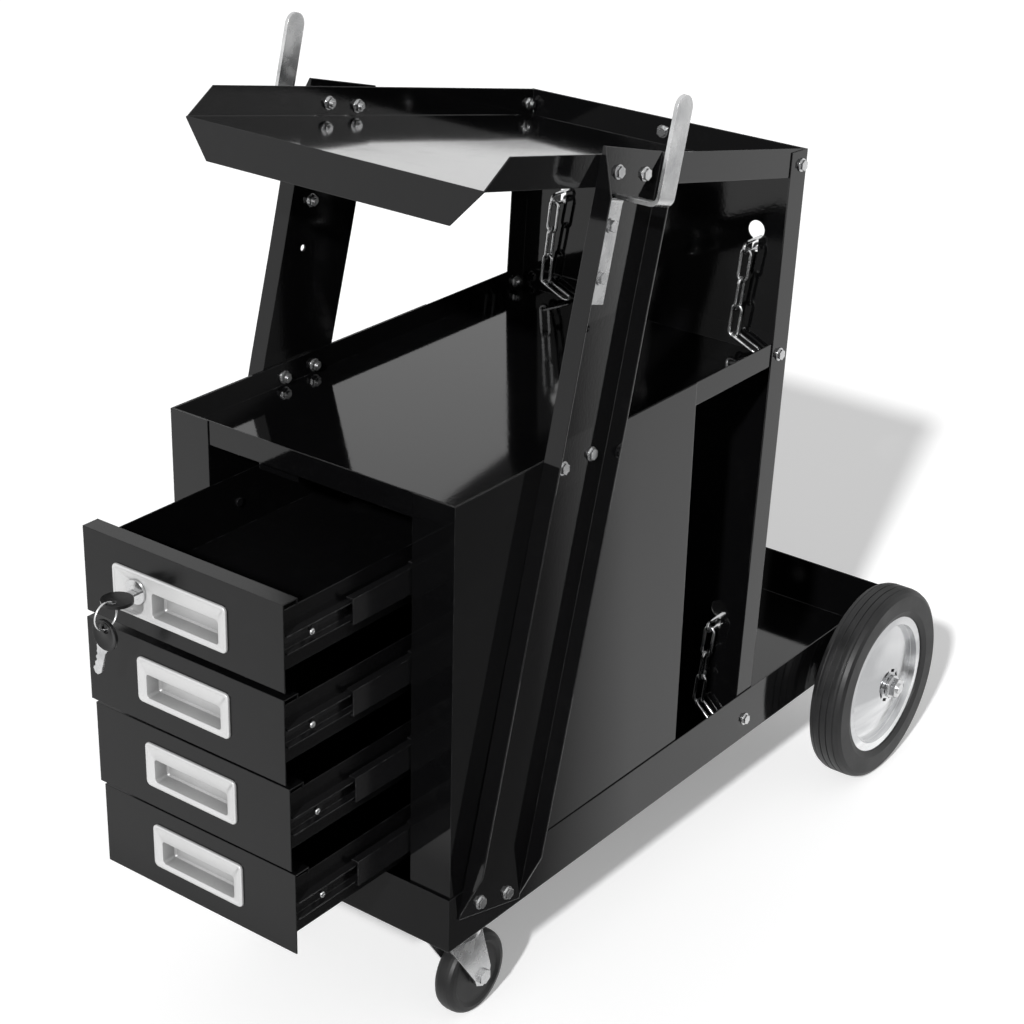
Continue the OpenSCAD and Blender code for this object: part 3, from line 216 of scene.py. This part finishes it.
def zinc():
    """Bright zinc plating: small crystal cells, soft clouds, dull scratches."""
    k = Look("zinc_plate", Metallic=1.0)
    cell = k.cells(700.0)
    grey = k.new("ShaderNodeHueSaturation")
    k.feed(grey, Color=cell, Saturation=0.0)
    cloud = k.noise(55.0, 3.0)
    base = k.mix(k.span(cloud, 0.3, 0.7, 0.0, 1.0), (0.44, 0.443, 0.45), (0.70, 0.703, 0.705))
    base = k.mix(0.06, base, grey.outputs[0])
    base = k.mix(k.calc("MULTIPLY", k.edges(0.0005), 0.5), base, (0.84, 0.84, 0.84))
    rough = k.span(cloud, 0.3, 0.7, 0.20, 0.32)
    return k.wear(base, rough, k.bump(k.noise(520.0, 3.0), 0.08, 0.00015, k.eased(0.0005)))


def chrome():
    """Bright chrome on the lock: hairline polishing marks and a few dull spots."""
    k = Look("lock_chrome", Metallic=1.0)
    spot = k.noise(160.0, 4.0)
    hair = k.noise(900.0, 2.0, 0.5, (0.08, 1.0, 1.0))
    base = k.mix(spot, (0.50, 0.505, 0.51), (0.68, 0.682, 0.685))
    rough = k.calc("ADD", k.span(spot, 0.35, 0.65, 0.10, 0.20), k.span(hair, 0.4, 0.6, 0.0, 0.04))
    return k.wear(base, rough, k.bump(hair, 0.05, 0.0001))


def black_plastic():
    """Moulded black key grip: satin skin with a fine spark texture and paler handled edges."""
    k = Look("key_grip_plastic", Specular_IOR_Level=0.3)
    tone = k.noise(200.0, 4.0)
    base = k.mix(tone, (0.003, 0.003, 0.0032), (0.006, 0.006, 0.0063))
    base = k.mix(k.calc("MULTIPLY", k.edges(0.0005), 0.4), base, (0.025, 0.025, 0.026))
    return k.wear(base, k.span(tone, 0.3, 0.7, 0.26, 0.38), k.bump(k.noise(2400.0, 2.0), 0.10, 0.0001))


LOOKS = {
    "black_enamel": enamel("gloss_black_enamel", 0.045, 0.075, 1.42),
    "slide_steel": slide_steel(),
    "silver_plastic": silver_plastic(),
    "tyre": rubber("tyre_rubber", (0.0065, 0.0065, 0.0068), (0.015, 0.015, 0.0155)),
    "bright_steel": bright_steel(),
    "caster_rubber": rubber("caster_tread", (0.005, 0.005, 0.0052), (0.011, 0.011, 0.0113)),
    "black_plastic": black_plastic(),
    "chrome": chrome(),
    "zinc_steel": zinc(),
}
SATIN = enamel("satin_black_enamel", 0.17, 0.24, 1.34)
for name, node in NODES.items():
    for held in node.material_slots:
        slot = held.material.name.split(".")[0]
        satin = slot == "black_enamel" and name.startswith("drawer_")
        held.material = SATIN if satin else LOOKS[slot]


# ---------------------------------------------------------------- small pieces
# all lengths in metres
KEY_BOW_R, KEY_HOLE_R = 0.0120, 0.0038
KEY_BOW_HALF_THICK, KEY_BLADE_HALF_THICK, KEY_DISH = 0.0013, 0.0009, 0.00035
KEY_BOW_DROP = -0.0062                  # the bow's middle, below its hole
KEY_ROOT, KEY_TIP, KEY_BLADE_HALF_W = -0.0142, -0.0425, 0.0042
KEY_CUTS = (0.0, 0.0012, 0.0004, 0.0018, 0.0007, 0.0014, 0.0002)
KEY_FIRST_CUT, KEY_CUT_PITCH, KEY_CUT_LAND = 0.0085, 0.0026, 0.0012
KEY_HANG, KEY_POINTS = math.radians(17), 40

SCREW_R, SCREW_RISE, SCREW_POINTS = 0.0026, 0.0011, 32
SCREW_PROFILE = ((1.0, 0.0), (0.98, 0.35), (0.86, 0.72), (0.66, 0.92), (0.56, 0.97))
CROSS_ARM, CROSS_SLOT, CROSS_TOP, CROSS_BOTTOM = 0.0013, 0.00042, 0.97, 0.35
SCREW_BEHIND, SCREW_SUNK = 0.0268, 0.0015   # from the rail's front end, and into its channel

PULL_RIM, PULL_WALL = 0.002, 0.001
POCKET_SHARE, POCKET_SILL = 0.54, 0.0045    # of the plate's height, and above its lower edge
POCKET_X, POCKET_HALF_W = 0.0, 0.0375
LOCK_POCKET_X, LOCK_POCKET_HALF_W = 0.004, 0.033    # in the first drawer, beside the lock
CORNER_STEPS, CORNER_TURN = 7, 15           # points on each corner, degrees between them


def linked(name, mesh):
    made = bpy.data.objects.new(name, mesh)
    bpy.context.scene.collection.objects.link(made)
    return made


def piece(name, bm, look, body, round_off=0.0):
    """Turn a finished bmesh into a piece that rides on a body, its edges rounded by round_off."""
    mesh = bpy.data.meshes.new(name)
    bmesh.ops.recalc_face_normals(bm, faces=bm.faces)
    bm.to_mesh(mesh)
    bm.free()
    made = linked(name, mesh)
    mesh.materials.append(look)
    if round_off:
        eased = made.modifiers.new("round", "BEVEL")
        eased.width, eased.segments, eased.limit_method = round_off, 2, "ANGLE"
        eased.angle_limit = math.radians(40)
    mesh.shade_smooth()
    mesh.set_sharp_from_angle(angle=math.radians(35))
    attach(made, body)
    return made


def ring_of(bm, radius, z, count, drop=0.0):
    """A circle of vertices across z, its centre moved along y by drop."""
    return [bm.verts.new((radius * math.cos(a), drop + radius * math.sin(a), z))
            for a in (2 * math.pi * i / count for i in range(count))]


def bands(bm, rings):
    """Quads between each ring and the next one."""
    for low, high in zip(rings, rings[1:]):
        n = len(low)
        for i in range(n):
            bm.faces.new((low[i], low[(i + 1) % n], high[(i + 1) % n], high[i]))


def spare_key():
    """The second key on the split ring: moulded bow with a dished face, milled blade with its bits.

    It is drawn in its own plane: +y up to the ring, the bow's hole at the origin, z across the key.
    """
    low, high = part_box("key_ring")
    thick = high[0] - low[0]
    place = Matrix.Translation(((low[0] + high[0]) / 2, (low[1] + high[1]) / 2, low[2] + thick)) \
        @ Matrix.Rotation(KEY_HANG, 4, "Y") @ Matrix.Rotation(math.radians(90), 4, "X")

    bm = bmesh.new()
    faces = []
    for side in (1, -1):
        skin, dished = side * KEY_BOW_HALF_THICK, side * (KEY_BOW_HALF_THICK - KEY_DISH)
        face = [ring_of(bm, radius, z, KEY_POINTS, drop) for radius, z, drop in (
            (KEY_HOLE_R, skin, 0.0),
            (KEY_HOLE_R * 1.35, skin, 0.0),
            (KEY_HOLE_R * 1.5, dished, -0.0006),
            (KEY_BOW_R * 0.80, dished, KEY_BOW_DROP),
            (KEY_BOW_R * 0.86, skin, KEY_BOW_DROP),
            (KEY_BOW_R, skin, KEY_BOW_DROP))]
        faces.append(face if side > 0 else face[::-1])
    loop = faces[0] + faces[1]
    bands(bm, loop + [loop[0]])
    bmesh.ops.transform(bm, matrix=place, verts=bm.verts)
    piece("spare_key_bow", bm, LOOKS["black_plastic"], "ring", 0.0003)

    wide, shoulder = KEY_BLADE_HALF_W, KEY_BLADE_HALF_W * 1.25
    shoulder_end, blade_start = KEY_ROOT - 0.0050, KEY_ROOT - 0.0068
    outline = [(-shoulder, KEY_ROOT), (-shoulder, shoulder_end), (-wide, blade_start)]
    for i, deep in enumerate(KEY_CUTS):
        y = KEY_ROOT - KEY_FIRST_CUT - i * KEY_CUT_PITCH
        outline += [(-wide + deep, y), (-wide + deep, y - KEY_CUT_LAND)]
    outline += [(-wide * 0.35, KEY_TIP), (wide * 0.35, KEY_TIP), (wide, KEY_TIP + 0.0034), (wide, blade_start),
                (shoulder, shoulder_end), (shoulder, KEY_ROOT)]
    bm = bmesh.new()
    front = [bm.verts.new((x, y, KEY_BLADE_HALF_THICK)) for x, y in outline]
    behind = [bm.verts.new((x, y, -KEY_BLADE_HALF_THICK)) for x, y in outline]
    bm.faces.new(front)
    bm.faces.new(behind[::-1])
    bands(bm, [front, behind])
    bmesh.ops.transform(bm, matrix=place, verts=bm.verts)
    piece("spare_key_blade", bm, LOOKS["zinc_steel"], "ring", 0.00022)


def rail_screws(row):
    """Pan-head screws with a cross recess that hold the drawer on its inner rails."""
    low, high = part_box("drawer_%d_inner_rails" % row)
    y, z = low[1] + SCREW_BEHIND, (low[2] + high[2]) / 2
    for side, out in (("left", -1), ("right", 1)):
        bm = bmesh.new()
        dome = [ring_of(bm, SCREW_R * r, SCREW_RISE * h, SCREW_POINTS) for r, h in SCREW_PROFILE]
        # the cross recess: four arms sunk below the dome
        cross = []
        for i in range(SCREW_POINTS):
            a = 2 * math.pi * i / SCREW_POINTS
            reach = CROSS_SLOT + (CROSS_ARM - CROSS_SLOT) * abs(math.cos(2 * a)) ** 6
            cross.append(bm.verts.new((reach * math.cos(a), reach * math.sin(a), SCREW_RISE * CROSS_TOP)))
        deep = [bm.verts.new((v.co.x * 0.8, v.co.y * 0.8, SCREW_RISE * CROSS_BOTTOM)) for v in cross]
        bands(bm, dome + [cross, deep])
        bm.faces.new(deep)
        bm.faces.new(dome[0][::-1])
        turn = Matrix.Rotation(math.radians(90 * out), 4, "Y")
        x = high[0] - SCREW_SUNK if out > 0 else low[0] + SCREW_SUNK
        bmesh.ops.transform(bm, matrix=Matrix.Translation((x, y, z)) @ turn, verts=bm.verts)
        piece("rail_screw_%d_%s" % (row, side), bm, LOOKS["zinc_steel"], "drawer_%d" % row)


def round_box(bm, cx, cz, half_w, half_h, corner, y):
    """A rounded rectangle of vertices in the plane of a drawer front."""
    made = []
    for sx, sz, start in ((1, 1, 0), (-1, 1, 90), (-1, -1, 180), (1, -1, 270)):
        for i in range(CORNER_STEPS):
            a = math.radians(start + CORNER_TURN * i)
            made.append(bm.verts.new((cx + sx * (half_w - corner) + corner * math.cos(a), y,
                                      cz + sz * (half_h - corner) + corner * math.sin(a))))
    return made


def pull(row):
    """Moulded recessed pull: rounded raised rim, flat plate inside it, finger pocket with soft corners."""
    node = "drawer_%d_pull" % row
    low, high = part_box(node)
    cx, cz = (low[0] + high[0]) / 2, (low[2] + high[2]) / 2
    half_w, half_h = (high[0] - low[0]) / 2, (high[2] - low[2]) / 2
    face, back = low[1] + PULL_RIM, high[1]
    floor = back - PULL_WALL
    px, pocket_w = (LOCK_POCKET_X, LOCK_POCKET_HALF_W) if row == 1 else (POCKET_X, POCKET_HALF_W)
    pocket_h = half_h * POCKET_SHARE
    pz = cz - half_h + pocket_h + POCKET_SILL
    bm = bmesh.new()

    def plate(inset, corner, y):
        return round_box(bm, cx, cz, half_w - inset, half_h - inset, corner, y)

    def pocket(more_w, more_h, corner, y):
        return round_box(bm, px, pz, pocket_w + more_w, pocket_h + more_h, corner, y)

    shell = PULL_WALL - 0.0012
    rings = [
        # behind the drawer's front: the pocket's shell, from its floor forward
        pocket(shell, shell, 0.0020, back),
        pocket(PULL_WALL, PULL_WALL, 0.0030, face + 0.0002),
        # the raised rim, over its rounded top to the flat plate
        plate(0.0, 0.0042, face),
        plate(0.0, 0.0042, face - 0.0011),
        plate(0.0003, 0.0040, face - 0.0017),
        plate(0.0009, 0.0036, face - PULL_RIM),
        plate(0.0021, 0.0030, face - PULL_RIM),
        plate(0.0027, 0.0027, face - 0.0015),
        # the pocket's eased mouth, walls and floor
        pocket(0.0006, 0.0006, 0.0030, face - 0.0015),
        pocket(-0.0002, -0.0002, 0.0026, face - 0.0010),
        pocket(-0.0016, -0.0014, 0.0022, floor - 0.0012),
        pocket(-0.0027, -0.0025, 0.0018, floor)]
    bands(bm, rings)
    bm.faces.new(rings[0][::-1])
    bm.faces.new(rings[-1])
    made = piece("pull_%d" % row, bm, LOOKS["silver_plastic"], "drawer_%d" % row)
    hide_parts(node)


spare_key()
for row in (1, 2, 3, 4):
    rail_screws(row)
    pull(row)


# ---------------------------------------------------------------- floor, light and camera
FLOOR_REACH, FLOOR_TONE, FLOOR_GLOW = 14.0, 0.90, 0.25
SKY_SEEN, SKY_LIGHT = 1.0, 0.37
SUN_FROM, SUN_POWER, SUN_ANGLE = (0.37, -1.1, 0.72), 3.4, math.radians(2.5)

# the softbox that shines in the tilted top tray
SOFTBOX_AT, SOFTBOX_TO = (-1.6105, 2.0531, 0.765), (-0.188, -0.123, 0.765)
SOFTBOX_POWER, SOFTBOX_W, SOFTBOX_H, SOFTBOX_TILT = 1.4, 0.98, 0.36, math.radians(13.9)

# the unlit wall behind the cart's left
WALL_MIDDLE, WALL_REACH, WALL_RISE = Vector((-1.85, 2.75, 0.0)), 2.6, 1.50

# the dark part of the floor on the cart's right starts along a line through this point
EDGE_AT, EDGE_WAY, EDGE_ACROSS = Vector((0.238, 0.04)), Vector((0.576, 0.817)), Vector((0.817, -0.576))
DARK_FLOOR_Z = 0.004

# the camera, fitted to the photograph: degrees, metres and pixels
CAMERA_AZ, CAMERA_EL, CAMERA_ROLL = 36.867, 25.075, 1.460
CAMERA_AT, FOCAL_PX, FRAME_PX, SENSOR_MM = (1.0625, -1.4302, 1.1816), 2317.6, 1024, 36.0


def stage_floor():
    """The white floor. It glows a little where it is seen, so that it is white and keeps the shadow."""
    mesh = bpy.data.meshes.new("floor")
    bm = bmesh.new()
    bm.faces.new([bm.verts.new((x * FLOOR_REACH, y * FLOOR_REACH, 0.0))
                  for x, y in ((-1, -1), (1, -1), (1, 1), (-1, 1))])
    bm.to_mesh(mesh)
    bm.free()
    floor = linked("floor", mesh)
    k = Look("pale_floor", Roughness=0.9, Specular_IOR_Level=0.0)
    k.p.inputs["Base Color"].default_value = (FLOOR_TONE, FLOOR_TONE, FLOOR_TONE, 1)
    path = k.new("ShaderNodeLightPath").outputs
    seen = k.calc("MAXIMUM", path["Is Camera Ray"],
                  k.calc("MAXIMUM", path["Is Glossy Ray"], path["Is Transmission Ray"]))
    k.t.links.new(k.calc("MULTIPLY", seen, FLOOR_GLOW), k.p.inputs["Emission Strength"])
    k.p.inputs["Emission Color"].default_value = (1, 1, 1, 1)
    mesh.materials.append(k.m)


def sky():
    """Soft white light all round, and plain white where it is seen or reflected."""
    world = bpy.data.worlds.new("studio")
    bpy.context.scene.world = world
    world.use_nodes = True
    t = world.node_tree
    t.nodes.clear()
    pick = t.nodes.new("ShaderNodeMixShader")
    for socket, strength in ((1, SKY_LIGHT), (2, SKY_SEEN)):
        glow = t.nodes.new("ShaderNodeBackground")
        glow.inputs["Color"].default_value = (1, 1, 1, 1)
        glow.inputs["Strength"].default_value = strength
        t.links.new(glow.outputs[0], pick.inputs[socket])
    path = t.nodes.new("ShaderNodeLightPath").outputs
    seen = path["Is Camera Ray"]
    for ray in ("Is Glossy Ray", "Is Transmission Ray"):
        either = t.nodes.new("ShaderNodeMath")
        either.operation = "MAXIMUM"
        t.links.new(seen, either.inputs[0])
        t.links.new(path[ray], either.inputs[1])
        seen = either.outputs[0]
    t.links.new(seen, pick.inputs[0])
    t.links.new(pick.outputs[0], t.nodes.new("ShaderNodeOutputWorld").inputs["Surface"])


def aimed(name, kind, at, target, **props):
    """A lamp at a point, turned towards its target."""
    data = bpy.data.lights.new(name, kind)
    for key, value in props.items():
        setattr(data, key, value)
    lamp = linked(name, data)
    lamp.location = at
    lamp.rotation_mode = "QUATERNION"
    lamp.rotation_quaternion = (Vector(target) - Vector(at)).to_track_quat("-Z", "Y")
    return lamp


def only_reflected(card):
    """Stage that is seen in gloss alone: it neither shows, lights nor shades the cart."""
    card.visible_camera = card.visible_diffuse = card.visible_shadow = False


def dark_wall():
    """The studio's unlit wall: only its reflection is seen, in the tilted top tray."""
    bm = bmesh.new()
    along = Vector((WALL_MIDDLE.y, -WALL_MIDDLE.x, 0.0)).normalized()
    bm.faces.new([bm.verts.new(WALL_MIDDLE + along * WALL_REACH * a + Vector((0, 0, WALL_RISE * b)))
                  for a, b in ((-1, 0.02), (1, 0.02), (1, 1), (-1, 1))])
    mesh = bpy.data.meshes.new("studio_wall")
    bm.to_mesh(mesh)
    bm.free()
    wall = linked("studio_wall", mesh)
    k = Look("wall_paint", Roughness=1.0, Specular_IOR_Level=0.0)
    mesh.materials.append(k.wear(k.mix(k.noise(2.0, 3.0), (0.05, 0.05, 0.05), (0.12, 0.12, 0.12))))
    only_reflected(wall)


def dark_floor(name, rows, strength):
    """A part of the studio's floor that was dark: only its reflection is seen, in the panels that face it.

    Each row is (start, end, fade), across the card; the paint fades out where fade is 0.
    """
    mesh = bpy.data.meshes.new(name)
    points = [(x, y, DARK_FLOOR_Z) for start, end, _ in rows for x, y in (start, end)]
    mesh.from_pydata(points, [], [(2 * i, 2 * i + 1, 2 * i + 3, 2 * i + 2) for i in range(len(rows) - 1)])
    fade = mesh.attributes.new("fade", "FLOAT", "POINT")
    for i, row in enumerate(rows):
        fade.data[2 * i].value = fade.data[2 * i + 1].value = row[2]
    card = linked(name, mesh)
    k = Look(name + "_paint", Roughness=1.0, Specular_IOR_Level=0.0)
    mesh.materials.append(k.wear(k.mix(k.noise(2.0, 3.0), (0.02, 0.02, 0.02), (0.05, 0.05, 0.05))))
    held = k.new("ShaderNodeAttribute", attribute_name="fade")
    k.t.links.new(k.calc("MULTIPLY", held.outputs["Fac"], strength), k.p.inputs["Alpha"])
    only_reflected(card)


def dark_floors():
    """The dark floor on the cart's right, and a painted shadow under the open drawers, both seen only in reflections.
    """
    # (across the edge, where along it the row starts, fade)
    right = [(EDGE_AT + EDGE_WAY * start + EDGE_ACROSS * across, EDGE_AT + EDGE_WAY * 3.0 + EDGE_ACROSS * across, fade)
             for across, start, fade in ((-0.05, 0.0, 0.0), (0.05, -0.2, 1.0), (1.0, -0.9, 1.0), (2.6, -1.5, 0.0))]
    dark_floor("floor_right", right, 0.9)
    # painted shadow: a dark card where the open drawers shade the floor, seen only in the reflections of the panels
    front = [((-0.45, y), (0.14, y), fade) for y, fade in ((-0.28, 1.0), (-0.48, 1.0), (-0.58, 0.0))]
    dark_floor("floor_front", front, 0.65)


def camera():
    """The photograph's camera, its turn about the view axis included."""
    az, el, roll = (math.radians(a) for a in (CAMERA_AZ, CAMERA_EL, CAMERA_ROLL))
    back = Vector((math.sin(az) * math.cos(el), -math.cos(az) * math.cos(el), math.sin(el)))
    level = Vector((math.cos(az), math.sin(az), 0))
    rise = back.cross(level)
    right = level * math.cos(roll) + rise * math.sin(roll)
    up = rise * math.cos(roll) - level * math.sin(roll)
    data = bpy.data.cameras.new("camera")
    data.sensor_width = SENSOR_MM
    data.lens = SENSOR_MM * FOCAL_PX / FRAME_PX
    data.clip_start, data.clip_end = 0.05, 80.0
    cam = linked("camera", data)
    place = Matrix((right, up, back)).transposed().to_4x4()
    place.translation = Vector(CAMERA_AT)
    cam.matrix_world = place
    bpy.context.scene.camera = cam


stage_floor()
sky()
aimed("key", "SUN", SUN_FROM, (0, 0, 0), energy=SUN_POWER, angle=SUN_ANGLE)
softbox = aimed("softbox", "AREA", SOFTBOX_AT, SOFTBOX_TO, energy=SOFTBOX_POWER,
                shape="RECTANGLE", size=SOFTBOX_W, size_y=SOFTBOX_H)
softbox.rotation_quaternion = softbox.rotation_quaternion @ Quaternion((0, 0, 1), SOFTBOX_TILT)
dark_wall()
dark_floors()
camera()
bpy.context.scene.view_settings.view_transform = "Standard"

bpy.context.view_layer.update()
